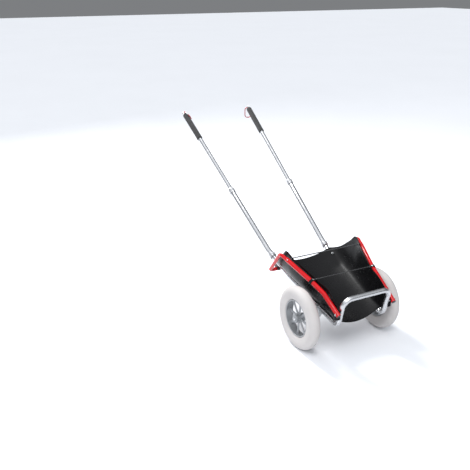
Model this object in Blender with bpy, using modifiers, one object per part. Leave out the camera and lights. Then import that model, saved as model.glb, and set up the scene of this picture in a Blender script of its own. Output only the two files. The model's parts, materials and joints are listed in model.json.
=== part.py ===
"""Two-wheeled game cart: a bent tube frame with a sheet trough, two wheels and two pulling poles.

Metres, +Z up. +X is the cart's right side, +Y points back towards the poles' grips.
The origin is on the floor, under the middle of the whole cart.
"""

import math

import bmesh
import bpy
from mathutils import Matrix, Vector

# ---- driving dimensions ---------------------------------------------------------------------
GAP = 0.0003                 # free space between pieces that touch

AXLE_Y = -0.5916             # the axle, ahead of the cart's middle
WHEEL_R = 0.1575
WHEEL_X = 0.2348             # middle of each tyre from the cart's middle
TYRE_WIDTH = 0.057
TYRE_STEPS = 6               # facets over the tread
RIM_R = 0.0935
RIM_WIDTH = 0.040
RIM_WALL = 0.0060
HUB_R = 0.021
HUB_WIDTH = 0.046
SPOKES = 8
SPOKE_WIDTH = 0.0145
SPOKE_THICKNESS = 0.009
SPOKE_PHASE = math.radians(-5.0)
BEARING_R = 0.0140
BEARING_WIDTH = 0.008
PIN_R = 0.0060

FRAME_R = 0.0125             # chassis tube
FRAME_WALL = 0.0016
RAIL_R = 0.0115
RAIL_WALL = 0.0014
YOKE_R = 0.0092
YOKE_WALL = 0.0015
BEAM_R = 0.0125
BEAM_HALF = 0.185
HANGER_HALF = 0.0165

POLE_R = 0.0148              # lower pole tube
POLE_WALL = 0.0016
UPPER_R = 0.0120             # upper pole tube
UPPER_WALL = 0.0015
UPPER_OVERLAP = 0.070        # upper tube inside the lower one
COLLAR_R = 0.0182
BASE_COLLAR_LENGTH = 0.024
TWIST_COLLAR_LENGTH = 0.032
GRIP_R = 0.0165
GRIP_LENGTH = 0.222
SPIGOT = 0.040               # chassis tube inside the pole

SHEET = 0.0016               # bed sheet thickness
FLOOR_SAG = (0.043, 0.033)    # middle of the bed below its edges on the chassis tubes, front and rear
SHEET_LIFT = 0.0160          # sheet above the chassis tube's axis
SHEET_ACROSS = 18            # facets of the sheet
SHEET_LENGTHWISE = 9
FLOOR_SHARE = 0.46           # share of the sheet's half width that is floor
FLOOR_RUN = (-0.141, 0.338)  # front and rear edge of the floor, from the axle
WALL_RUN = (-0.205, 0.207)   # front and rear end of the walls' top edge
CORNER_FROM = 0.160          # the top edge runs level from here to its rear corner
CORNER_CUT = 0.024           # rounding of that corner
WALL_RISE = 0.011            # the walls stand higher ahead of the tabs
RISE_AT, RISE_REACH = -0.118, 0.070
EAR_RISE = 0.012             # and again at their rear corners
EAR_AT, EAR_REACH = 0.170, 0.045
FRONT_EDGE = 1.8             # how soon the front edge comes forward past the hoop's legs
TAB_WALL = 0.0027
TAB_HALF = 0.0075

CORD_HOLE = 0.0006           # room round a cord in the sheet
KNOT_WALL = 0.0021           # knot proud of its cord
KNOT_LENGTH = 0.0065
WIRE_R = 0.0028              # carabiner
CARABINER_LENGTH = 0.068
CARABINER_WIDTH = 0.042
EYE_R = 0.0100
LYING_TILT = math.radians(14.0)   # carabiner lying on the grip, to the pole's axis
EYE_WIRE_R = 0.0021
EYE_FACETS = 6

BOLT_R = 0.0030
HEAD_R, HEAD_H = 0.0055, 0.0035
NUT_R, NUT_H = 0.0055, 0.0045
THREAD_END = 0.0075          # end of a bolt past its nut's face
PAN_R = 0.0042               # head of rivets and tab screws
BUTTON_R = 0.0034
BUTTON_FOOT_R = 0.0046
BUTTON_BACK = 0.013          # yoke button from the rail's end
RAIL_BOLT_BACK = 0.013       # rail bolt from the rail's front end
RAIL_TO_LEG = 0.030          # rail's axis to the inside of the hoop's leg
BED_BOLT_Y = 0.300           # from the axle
HANGER_TOP = 0.0065          # top of the hanger over the member's axis
RIVET_R = 0.0020
STEM_R = 0.0025
WELD = 1e-6
WHEEL_SIDES = 32             # sides of the turned pieces, by size
COLLAR_SIDES = 16
SCREW_SIDES = 8
TUBE_RESOLUTION = 3          # gives a tube 10 sides

# Corners of the bent tubes on the right side, from the axle's foot: x, y, z and bend radius.
HOOP_TOP = (0.1325, -0.205, 0.3195, 0.045)
HOOP_FOOT = (0.1305, -0.168, 0.1695, 0.030)
MEMBER_BEND = (0.1480, 0.220, 0.2567, 0.200)
POLE_FOOT = (0.1640, 0.372, 0.3200, 0.0)
POLE_BEND = (0.1690, 0.420, 0.3400, 0.120)
GRIP_FOOT = (0.2115, 1.182, 0.7840, 0.0)
COLLAR_Y = 0.806             # twist collar, from the axle

RAIL_FRONT = (0.1585, -0.210, 0.2465, 0.0)
RAIL_BEND = (0.1655, -0.094, 0.3120, 0.060)
RAIL_TAB = (0.1800, -0.012, 0.3420, 0.200)
RAIL_REAR = (0.2242, 0.150, 0.4040, 0.0)
YOKE_TOP = (0.2350, 0.190, 0.4190, 0.026)
YOKE_FOOT = (0.2080, 0.333, 0.2670, 0.022)
RIVET = (0.1488, -0.1820, 0.2290)

# Cords from wall to wall: name, y from the axle, height, half length and radius.
CORDS = (("rear_cord", 0.139, 0.4085, 0.2055, 0.0026), ("mid_cord", -0.016, 0.3535, 0.1625, 0.0016))

# Normals of the eyes in the poles' ends.
LEFT_EYE = (-0.521, -0.451, 0.725)
RIGHT_EYE = (0.89, -0.455, 0.0)

COLOURS = {
    "silver": ((0.70, 0.71, 0.72), 0.32, 0.9),
    "steel": ((0.55, 0.56, 0.58), 0.30, 1.0),
    "red": ((0.62, 0.012, 0.02), 0.22, 0.0),
    "black": ((0.018, 0.018, 0.020), 0.42, 0.0),
    "foam": ((0.055, 0.055, 0.058), 0.90, 0.0),
    "tyre": ((0.62, 0.61, 0.60), 0.75, 0.0),
    "rim": ((0.46, 0.48, 0.50), 0.45, 0.3),
    "rubber": ((0.03, 0.03, 0.03), 0.70, 0.0),
}

SIDES = (("left", -1.0), ("right", 1.0))


# ---- scene ----------------------------------------------------------------------------------
def clear_scene():
    for item in list(bpy.data.objects):
        bpy.data.objects.remove(item, do_unlink=True)


def new_collection(name):
    group = bpy.data.collections.new(name)
    bpy.context.scene.collection.children.link(group)
    return group


def make_material(name):
    colour, roughness, metallic = COLOURS[name]
    material = bpy.data.materials.new(name)
    material.use_nodes = True
    shader = material.node_tree.nodes["Principled BSDF"]
    shader.inputs["Base Color"].default_value = (*colour, 1.0)
    shader.inputs["Roughness"].default_value = roughness
    shader.inputs["Metallic"].default_value = metallic
    return material


clear_scene()
CART = new_collection("game_cart")
CUTTERS = new_collection("cutters")
MATERIALS = {name: make_material(name) for name in COLOURS}


# ---- helpers --------------------------------------------------------------------------------
def at(x, y, z):
    """A place given from the axle's foot, in the cart's own frame."""
    return Vector((x, y + AXLE_Y, z))


def place(corner, side=1.0):
    return at(side * corner[0], corner[1], corner[2])


def along(direction):
    """Rotation that takes +Z to the direction."""
    return Vector((0, 0, 1)).rotation_difference(Vector(direction)).to_matrix().to_4x4()


def add_object(name, mesh, material, matrix=None):
    item = bpy.data.objects.new(name, mesh)
    CART.objects.link(item)
    if material:
        mesh.materials.clear()
        mesh.materials.append(MATERIALS[material])
    if matrix is not None:
        item.matrix_world = matrix
    return item


def smooth(item, angle=40.0):
    item.data.shade_smooth()
    item.data.set_sharp_from_angle(angle=math.radians(angle))
    return item


def finish_mesh(name, data):
    """Weld, turn the faces outwards and hand the bmesh over as a mesh."""
    bmesh.ops.remove_doubles(data, verts=data.verts, dist=WELD)
    bmesh.ops.recalc_face_normals(data, faces=data.faces)
    mesh = bpy.data.meshes.new(name)
    data.to_mesh(mesh)
    data.free()
    return mesh


def turned_mesh(name, profile, sides):
    """An outline of (radius, height) points turned about Z; closed unless it ends on the axis."""
    data = bmesh.new()
    verts = [data.verts.new((radius, 0.0, height)) for radius, height in profile]
    edges = [data.edges.new(pair) for pair in zip(verts, verts[1:])]
    if profile[0][0] > 0 or profile[-1][0] > 0:
        edges.append(data.edges.new((verts[-1], verts[0])))
    bmesh.ops.spin(data, geom=verts + edges, cent=(0, 0, 0), axis=(0, 0, 1),
                   angle=2 * math.pi, steps=sides, use_merge=True)
    return finish_mesh(name, data)


def turned(name, profile, material, origin, axis, sides):
    matrix = Matrix.Translation(origin) @ along(axis)
    return smooth(add_object(name, turned_mesh(name, profile, sides), material, matrix))


def fillet_path(corners, step_angle=23.0):
    """Straight runs joined by arcs: corners are (point, bend radius)."""
    path = [corners[0][0].copy()]
    for k in range(1, len(corners) - 1):
        before, corner, after = corners[k - 1][0], corners[k][0], corners[k + 1][0]
        radius = corners[k][1]
        back = (before - corner).normalized()
        ahead = (after - corner).normalized()
        turn = math.pi - back.angle(ahead)
        reach = radius * math.tan(turn / 2)
        start = corner + back * reach
        end = corner + ahead * reach
        centre = corner + (back + ahead).normalized() * (radius / math.cos(turn / 2))
        steps = max(2, math.ceil(math.degrees(turn) / step_angle))
        first, last = start - centre, end - centre
        for s in range(steps + 1):
            t = s / steps
            weight_a = math.sin((1 - t) * turn) / math.sin(turn)
            weight_b = math.sin(t * turn) / math.sin(turn)
            path.append(centre + first * weight_a + last * weight_b)
    path.append(corners[-1][0].copy())
    return path


def tube_mesh(name, path, radius, closed_ends, resolution=TUBE_RESOLUTION, origin=Vector()):
    """Mesh of a curve with a round bevel, about the origin."""
    curve = bpy.data.curves.new(name, "CURVE")
    curve.dimensions = "3D"
    curve.bevel_depth = radius
    curve.bevel_resolution = resolution
    curve.use_fill_caps = closed_ends
    spline = curve.splines.new("POLY")
    spline.points.add(len(path) - 1)
    for point, spot in zip(spline.points, path):
        point.co = (*(spot - origin), 1.0)
    item = bpy.data.objects.new(name, curve)
    CUTTERS.objects.link(item)
    bpy.context.view_layer.update()
    graph = bpy.context.evaluated_depsgraph_get()
    mesh = bpy.data.meshes.new_from_object(item.evaluated_get(graph))
    bpy.data.objects.remove(item, do_unlink=True)
    data = bmesh.new()
    data.from_mesh(mesh)
    return finish_mesh(name, data)


def solid_tube(name, path, radius, material, origin, resolution):
    mesh = tube_mesh(name, path, radius, True, resolution, origin)
    return smooth(add_object(name, mesh, material, Matrix.Translation(origin)))


def hollow_tube(name, path, radius, wall, material, resolution=TUBE_RESOLUTION, origin=Vector()):
    mesh = tube_mesh(name, path, radius, False, resolution, origin)
    item = add_object(name, mesh, material, Matrix.Translation(origin))
    shell = item.modifiers.new("wall", "SOLIDIFY")
    shell.thickness = wall
    shell.offset = -1.0
    shell.use_even_offset = True
    return smooth(item)


def cutter(item):
    """Move a piece to the cutters: kept out of the render, shown as wire."""
    CART.objects.unlink(item)
    CUTTERS.objects.link(item)
    item.hide_render = True
    item.display_type = "WIRE"
    return item


def boolean(item, tool, operation="DIFFERENCE"):
    change = item.modifiers.new(tool.name, "BOOLEAN")
    change.operation = operation
    change.solver = "EXACT"
    change.object = tool


def rod_tool(name, origin, axis, radius, start, end, sides=SCREW_SIDES):
    """A plain round cutter from start to end along the axis."""
    profile = [(0.0, start), (radius, start), (radius, end), (0.0, end)]
    mesh = turned_mesh(name, profile, sides)
    return cutter(add_object(name, mesh, None, Matrix.Translation(origin) @ along(axis)))


def drill(items, name, origin, axis, radius, start, end, sides=SCREW_SIDES):
    tool = rod_tool(name, origin, axis, radius, start, end, sides)
    for item in items:
        boolean(item, tool)


def box_mesh(name, low, high):
    data = bmesh.new()
    bmesh.ops.create_cube(data, size=1.0)
    for vert in data.verts:
        for k in range(3):
            vert.co[k] = low[k] if vert.co[k] < 0 else high[k]
    return finish_mesh(name, data)


def screw_profile(head_r, head_h, shank_r, length):
    """A headed pin: the head sits above z = 0, the shank runs down."""
    return [(0.0, head_h), (head_r * 0.7, head_h), (head_r, head_h * 0.55), (head_r, 0.0), (shank_r, 0.0),
            (shank_r, -length), (0.0, -length)]


def bolt_profile(head_r, head_h, nut_at):
    """A bolt with a nut whose face is nut_at below the head."""
    nut = [(BOLT_R, -nut_at), (NUT_R, -nut_at), (NUT_R, -nut_at - NUT_H), (BOLT_R, -nut_at - NUT_H)]
    outline = screw_profile(head_r, head_h, BOLT_R, nut_at + THREAD_END)
    return outline[:-2] + nut + outline[-2:]


# ---- centre lines ---------------------------------------------------------------------------
def mirrored(corners, side):
    return [(place(c, side), c[3]) for c in corners]


def chassis_path():
    base = place(POLE_FOOT)
    ahead = (place(POLE_BEND) - base).normalized()
    end = base + ahead * SPIGOT
    right = [(end, 0.0), (place(MEMBER_BEND), MEMBER_BEND[3]), (place(HOOP_FOOT), HOOP_FOOT[3]),
             (place(HOOP_TOP), HOOP_TOP[3])]
    left = [(Vector((-p.x, p.y, p.z)), r) for p, r in reversed(right)]
    return fillet_path(right + left)


def rail_path(side):
    return fillet_path(mirrored((RAIL_FRONT, RAIL_BEND, RAIL_TAB, RAIL_REAR), side))


def yoke_path():
    rear = place(RAIL_REAR)
    ahead = (rear - place(RAIL_TAB)).normalized()
    start = rear - ahead * 0.030
    right = [(start, 0.0), (place(YOKE_TOP), YOKE_TOP[3]), (place(YOKE_FOOT), YOKE_FOOT[3])]
    left = [(Vector((-p.x, p.y, p.z)), r) for p, r in reversed(right)]
    return fillet_path(right + left)


def pole_axis(side):
    """Unit vector of the straight part of a pole, pointing to its grip."""
    return (place(GRIP_FOOT, side) - place(POLE_BEND, side)).normalized()


def base_axis(side):
    return (place(POLE_BEND, side) - place(POLE_FOOT, side)).normalized()


def on_pole(side, y):
    """The point of a pole's straight axis at y from the axle."""
    bend, axis = place(POLE_BEND, side), pole_axis(side)
    return bend + axis * ((y + AXLE_Y - bend.y) / axis.y)


def follow(path, y):
    """x and z of a centre line at y, carried on straight past its ends."""
    pts = sorted(path, key=lambda p: p.y)
    k = 1
    while k < len(pts) - 1 and pts[k].y < y:
        k += 1
    low, high = pts[k - 1], pts[k]
    t = (y - low.y) / (high.y - low.y)
    return low.x + (high.x - low.x) * t, low.z + (high.z - low.z) * t


# ---- frame ----------------------------------------------------------------------------------
def make_frame():
    parts = {}
    parts["chassis"] = hollow_tube("chassis_tube", chassis_path(), FRAME_R, FRAME_WALL, "silver")
    parts["yoke"] = hollow_tube("rear_yoke", yoke_path(), YOKE_R, YOKE_WALL, "red", 2)
    for side, sign in SIDES:
        parts["rail_" + side] = hollow_tube("rail_" + side, rail_path(sign), RAIL_R, RAIL_WALL, "red", 4)
    return parts


def member(side):
    """Direction and middle of the chassis member over the axle."""
    foot, bend = place(HOOP_FOOT, side), place(MEMBER_BEND, side)
    axis = (bend - foot).normalized()
    return foot + axis * ((AXLE_Y - foot.y) / axis.y), axis


def make_axle(parts):
    bore = PIN_R + GAP
    profile = [(BEAM_R, -BEAM_HALF), (BEAM_R, BEAM_HALF), (bore, BEAM_HALF), (bore, -BEAM_HALF)]
    turned("axle_beam", profile, "silver", at(0, 0, WHEEL_R), (1, 0, 0), 20)
    for side, sign in SIDES:
        middle, axis = member(sign)
        hanger = make_hanger(side, middle)
        seat = rod_tool("seat_" + side, middle, axis, FRAME_R + GAP, -0.08, 0.08, 20)
        eye = rod_tool("eye_" + side, at(0, 0, WHEEL_R), (1, 0, 0), BEAM_R + GAP, -0.2, 0.2, 20)
        boolean(hanger, seat)
        boolean(hanger, eye)
        out = Vector((sign, 0, 0))
        # The inner flange stops below the sheet, so the nut bears on the tube itself.
        inner = sorted((middle.x, middle.x - sign * 0.03))
        low = Vector((inner[0], AXLE_Y - 0.05, middle.z - HANGER_TOP))
        high = Vector((inner[1], AXLE_Y + 0.05, middle.z + 0.03))
        boolean(hanger, cutter(add_object("flange_" + side, box_mesh("flange", low, high), None)))
        drill([hanger, parts["chassis"]], "hanger_hole_" + side, middle, out, BOLT_R + GAP, -0.03, 0.03)
        outer = HANGER_HALF + GAP
        nut_at = outer + FRAME_R + GAP
        turned("bracket_bolt_" + side, bolt_profile(HEAD_R, HEAD_H, nut_at), "steel", middle + out * outer,
               out, SCREW_SIDES)


def make_hanger(side, middle):
    """Cast hanger from the chassis member down round the axle beam."""
    half = HANGER_HALF
    top = middle.z + HANGER_TOP
    outline = [(-0.030, top), (0.030, top), (0.032, WHEEL_R + 0.022), (0.019, WHEEL_R - 0.010),
               (0.010, WHEEL_R - 0.019), (-0.010, WHEEL_R - 0.019), (-0.019, WHEEL_R - 0.010),
               (-0.032, WHEEL_R + 0.022)]
    data = bmesh.new()
    verts = [data.verts.new((middle.x - half, AXLE_Y + y, z)) for y, z in outline]
    face = data.faces.new(verts)
    push = bmesh.ops.extrude_face_region(data, geom=[face])
    moved = [g for g in push["geom"] if isinstance(g, bmesh.types.BMVert)]
    bmesh.ops.translate(data, verts=moved, vec=(2 * half, 0, 0))
    return add_object("axle_bracket_" + side, finish_mesh("axle_bracket_" + side, data), "silver")


def make_rail_fittings(parts):
    for side, sign in SIDES:
        rail, out = parts["rail_" + side], Vector((sign, 0, 0))
        end = place(RAIL_FRONT, sign)
        axis = (place(RAIL_BEND, sign) - end).normalized()
        # Screw through the rail and the sheet into a threaded hole in the hoop's leg.
        spot = end + axis * RAIL_BOLT_BACK
        drill([rail, parts["chassis"], parts["sheet"]], "rail_bolt_hole_" + side, spot, out,
              BOLT_R + GAP, -RAIL_TO_LEG - 0.002, 0.02)
        screw = screw_profile(HEAD_R, HEAD_H, BOLT_R, RAIL_TO_LEG + RAIL_R)
        turned("rail_bolt_" + side, screw, "steel", spot + out * (RAIL_R + GAP), out, SCREW_SIDES)
        # Sprung button that locks the yoke in the rail.
        rear = place(RAIL_REAR, sign)
        run = (rear - place(RAIL_TAB, sign)).normalized()
        spot = rear - run * BUTTON_BACK
        up = (Vector((0, 0, 1)) - run * run.z).normalized()
        outward = (up + out * 0.9).normalized()
        outward = (outward - run * outward.dot(run)).normalized()
        drill([rail, parts["yoke"]], "yoke_hole_" + side, spot, outward, BUTTON_R + GAP, 0.002, 0.02)
        turned("yoke_button_" + side, button_profile(RAIL_R, YOKE_R - YOKE_WALL), "steel", spot, outward,
               SCREW_SIDES)


def button_profile(outer, inner):
    """Sprung button about its axis: a foot inside the tube and a domed pin out through the walls."""
    rim = BUTTON_FOOT_R
    foot = 0.97 * math.sqrt(inner ** 2 - rim ** 2) - 0.0005
    return [(0.0, foot - 0.0015), (rim, foot - 0.0015), (rim, foot), (BUTTON_R, foot),
            (BUTTON_R, outer + 0.0016), (BUTTON_R * 0.6, outer + 0.0028), (0.0, outer + 0.0032)]


# ---- bed ------------------------------------------------------------------------------------
def sheet_point(u, v, chassis, rail):
    """Point of the bed sheet's middle surface: u from 0 (middle) to 1 (top edge), v from front to rear."""
    bend = FLOOR_SHARE
    wall = max(0.0, (u - bend) / (1 - bend))
    front = FLOOR_RUN[0] + (WALL_RUN[0] - FLOOR_RUN[0]) * math.sin(min(1.0, wall * FRONT_EDGE) * math.pi / 2)
    rear = FLOOR_RUN[1] + (WALL_RUN[1] - FLOOR_RUN[1]) * (1 - math.cos(wall * math.pi / 2)) ** 0.75
    rear -= CORNER_CUT * max(0.0, (u - 0.85) / 0.15) ** 2
    y = AXLE_Y + front + (rear - front) * v
    tube_x, tube_z = follow(chassis, y)
    seat_z = tube_z + SHEET_LIFT
    if u <= bend:
        x = tube_x * u / bend
        sag = FLOOR_SAG[0] + (FLOOR_SAG[1] - FLOOR_SAG[0]) * v
        return Vector((x, y, seat_z - sag * (1 - (u / bend) ** 2)))
    rail_x, rail_z = follow(rail, min(y, AXLE_Y + CORNER_FROM))
    lead = min(1.0, max(0.0, (AXLE_Y - 0.10 - y) / 0.05))
    top_x = rail_x - 0.018 + 0.0051 * lead
    crest = max(0.0, 1 - ((y - AXLE_Y - RISE_AT) / RISE_REACH) ** 2)
    ear = max(0.0, 1 - ((y - AXLE_Y - EAR_AT) / EAR_REACH) ** 2)
    top_z = rail_z + 0.016 - 0.006 * lead + WALL_RISE * crest + EAR_RISE * ear
    start = Vector((tube_x, seat_z))
    end = Vector((top_x, top_z))
    rise = end.y - start.y
    knee = Vector((start.x + 0.62 * (end.x - start.x) + 0.005, start.y + 0.10 * rise))
    shoulder = Vector((end.x - 0.10 * (end.x - start.x), start.y + 0.50 * rise))
    s = 1 - wall
    flat = start * s ** 3 + knee * (3 * s * s * wall) + shoulder * (3 * s * wall * wall) + end * wall ** 3
    if y < AXLE_Y - 0.146:
        flat.x = max(flat.x, HOOP_TOP[0] + FRAME_R + SHEET / 2 + 2 * GAP)
    return Vector((flat.x, y, flat.y))


def make_sheet():
    """Flexible sheet curled into a trough over the chassis members and up inside the rails."""
    chassis = [p for p in chassis_path() if p.x > 0 and p.z < place(POLE_FOOT).z + 0.03]
    chassis = [p for p in chassis if p.y > place(HOOP_FOOT).y + 0.012]
    rail = rail_path(1.0)
    data = bmesh.new()
    bmesh.ops.create_grid(data, x_segments=SHEET_ACROSS, y_segments=SHEET_LENGTHWISE, size=1.0)
    for vert in data.verts:
        side = -1.0 if vert.co.x < 0 else 1.0
        spot = sheet_point(abs(vert.co.x), (vert.co.y + 1) / 2, chassis, rail)
        vert.co = (side * spot.x, spot.y, spot.z)
    mesh = finish_mesh("bed_sheet", data)
    item = add_object("bed_sheet", mesh, "black")
    shell = item.modifiers.new("thickness", "SOLIDIFY")
    shell.thickness = SHEET
    shell.offset = 0.0
    shell.use_even_offset = True
    return smooth(item)


def make_bed_fittings(parts):
    for side, sign in SIDES:
        out = Vector((sign, 0, 0))
        rail = parts["rail_" + side]
        # Loop of sheet round the rail, held by a screw from above.
        middle = place(RAIL_TAB, sign)
        run = (place(RAIL_REAR, sign) - place(RAIL_BEND, sign)).normalized()
        inner, outer = RAIL_R + GAP * 4, RAIL_R + TAB_WALL
        loop = [(inner, -TAB_HALF), (outer, -TAB_HALF), (outer, TAB_HALF), (inner, TAB_HALF)]
        tab = turned("bed_tab_" + side, loop, "black", middle, run, COLLAR_SIDES)
        lean = (Vector((0, 0, 1)) - out * 0.30).normalized()
        lean = (lean - run * lean.dot(run)).normalized()
        drill([tab, rail], "tab_hole_" + side, middle, lean, RIVET_R + GAP, 0.005, 0.03)
        turned("tab_bolt_" + side, screw_profile(PAN_R, 0.0022, RIVET_R, 0.0075), "steel",
               middle + lean * (outer + GAP), lean, SCREW_SIDES)
        # Bolt through sheet, member and saddle.
        foot, bend = place(POLE_FOOT, sign), place(MEMBER_BEND, sign)
        axis = (foot - bend).normalized()
        spot = foot - axis * ((foot.y - at(0, BED_BOLT_Y, 0).y) / axis.y)
        up = (Vector((0, 0, 1)) - axis * axis.z).normalized()
        drill([parts["sheet"], parts["chassis"]], "bed_hole_" + side, spot, up, BOLT_R + GAP, -0.03, 0.03)
        head_at = SHEET_LIFT + 0.0030
        nut_at = head_at + FRAME_R + GAP
        turned("bed_bolt_" + side, bolt_profile(0.0062, 0.0026, nut_at), "steel", spot + up * head_at, up,
               SCREW_SIDES)
        make_saddle(side, spot, axis)
        # Rivet through the front of the wall into the hoop's leg.
        spot = place(RIVET, sign)
        drill([parts["sheet"], parts["chassis"]], "rivet_hole_" + side, spot, out, RIVET_R + GAP,
              -0.012, 0.006)
        turned("bed_rivet_" + side, screw_profile(PAN_R, 0.0018, RIVET_R, 0.0100), "steel", spot, out,
               SCREW_SIDES)


def make_saddle(side, spot, axis):
    """Moulded spacer between the chassis member and the yoke's cross member."""
    cross = place(YOKE_FOOT)
    low = Vector((spot.x - 0.012, cross.y - 0.017, cross.z - 0.003))
    high = Vector((spot.x + 0.012, cross.y + 0.017, spot.z + 0.006))
    item = add_object("yoke_saddle_" + side, box_mesh("yoke_saddle_" + side, low, high), "black")
    boolean(item, rod_tool("cross_" + side, Vector((spot.x, cross.y, cross.z)), (1, 0, 0),
                           YOKE_R + GAP, -0.05, 0.05, COLLAR_SIDES))
    boolean(item, rod_tool("member_" + side, spot, axis, FRAME_R + GAP, -0.1, 0.1, COLLAR_SIDES))


def make_cord(name, y, z, half, radius, sheet):
    """Taut cord from wall to wall with a knot outside each wall."""
    end = half + KNOT_LENGTH
    knot = radius + KNOT_WALL
    side = [(radius, half), (knot, half + KNOT_LENGTH * 0.4), (knot * 0.8, half + KNOT_LENGTH * 0.85)]
    outline = [(0.0, end)] + side[::-1] + [(r, -h) for r, h in side] + [(0.0, -end)]
    axis = Vector((1, 0, 0))
    middle = at(0, y, z)
    turned(name, outline[::-1], "black", middle, axis, SCREW_SIDES)
    drill([sheet], name + "_hole", middle, axis, radius + CORD_HOLE, -0.3, 0.3)


# ---- wheels ---------------------------------------------------------------------------------
def tyre_profile():
    """Round-shouldered tyre: (radius, height) outline about the wheel's axis."""
    half = TYRE_WIDTH / 2
    seat = RIM_R + GAP
    crown = WHEEL_R - half * 0.98
    outline = [(seat, -half * 0.62)]
    for step in range(TYRE_STEPS + 1):
        angle = math.pi * (1 - step / TYRE_STEPS)
        radius = crown + half * 0.98 * math.sin(angle) if 0 < step < TYRE_STEPS else crown - 0.004
        outline.append((radius, half * math.cos(angle)))
    outline.append((seat, half * 0.62))
    return outline


def make_wheel(side, sign):
    centre = at(sign * WHEEL_X, 0, WHEEL_R)
    out = Vector((sign, 0, 0))
    turned("tyre_" + side, tyre_profile(), "tyre", centre, out, WHEEL_SIDES)
    make_rim(side, centre, out)
    seat = HUB_WIDTH / 2 - BEARING_WIDTH
    ring = [(PIN_R + GAP, 0.0), (BEARING_R, 0.0), (BEARING_R, BEARING_WIDTH), (PIN_R + GAP, BEARING_WIDTH)]
    for label, way in (("outer", 1.0), ("inner", -1.0)):
        turned("bearing_%s_%s" % (label, side), ring, "steel", centre + out * way * seat, out * way,
               COLLAR_SIDES)
    # Quick-release pin from the beam through both bearings.
    face = HUB_WIDTH / 2
    shoulder = BEAM_HALF + GAP - WHEEL_X
    outline = [(0.0, -0.115), (PIN_R, -0.115), (PIN_R, shoulder), (0.0098, shoulder), (0.0098, -face - GAP),
               (PIN_R, -face - GAP), (PIN_R, face + GAP), (0.0088, face + GAP), (0.0088, face + 0.0060),
               (0.0040, face + 0.0075), (0.0, face + 0.0075)]
    turned("axle_pin_" + side, outline, "steel", centre, out, 12)
    cap = [(0.0112, face + GAP), (0.0190, face + GAP), (0.0180, face + 0.0045), (0.0112, face + 0.0060)]
    turned("hub_cap_" + side, cap, "rim", centre, out, COLLAR_SIDES)


def make_rim(side, centre, out):
    """Moulded rim, spokes and hub in one."""
    half, seat = RIM_WIDTH / 2, HUB_WIDTH / 2 - BEARING_WIDTH - GAP
    lip = 0.0035
    ring = [(RIM_R - RIM_WALL, -half), (RIM_R, -half * 0.8), (RIM_R, half * 0.8), (RIM_R - RIM_WALL, half),
            (RIM_R - RIM_WALL - 0.002, half - lip), (RIM_R - RIM_WALL - 0.002, lip - half)]
    rim = turned("rim_" + side, ring, "rim", centre, out, WHEEL_SIDES)
    matrix = Matrix.Translation(centre) @ along(out)
    solid = [(0.0, -HUB_WIDTH / 2), (HUB_R, -HUB_WIDTH / 2), (HUB_R, HUB_WIDTH / 2), (0.0, HUB_WIDTH / 2)]
    hub = cutter(add_object("hub_" + side, turned_mesh("hub_" + side, solid, COLLAR_SIDES), None, matrix))
    boolean(rim, hub, "UNION")
    for k in range(SPOKES):
        angle = SPOKE_PHASE + 2 * math.pi * k / SPOKES
        reach = (HUB_R - 0.004, RIM_R - RIM_WALL * 0.6)
        mesh = box_mesh("spoke", (reach[0], -SPOKE_WIDTH / 2, -SPOKE_THICKNESS / 2),
                        (reach[1], SPOKE_WIDTH / 2, SPOKE_THICKNESS / 2))
        spoke = cutter(add_object("spoke_%s_%d" % (side, k), mesh, None,
                                  matrix @ Matrix.Rotation(angle, 4, "Z")))
        boolean(rim, spoke, "UNION")
    bore = [(0.0, -0.04), (PIN_R + 0.0015, -0.04), (PIN_R + 0.0015, 0.04), (0.0, 0.04)]
    boolean(rim, cutter(add_object("bore_" + side, turned_mesh("bore_" + side, bore, 12), None, matrix)))
    for label, way in (("o", 1.0), ("i", -1.0)):
        pocket = [(0.0, seat), (BEARING_R + GAP, seat), (BEARING_R + GAP, 0.04), (0.0, 0.04)]
        frame = Matrix.Translation(centre) @ along(out * way)
        mesh = turned_mesh("pocket_" + side + label, pocket, COLLAR_SIDES)
        boolean(rim, cutter(add_object("pocket_" + side + label, mesh, None, frame)))


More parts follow.
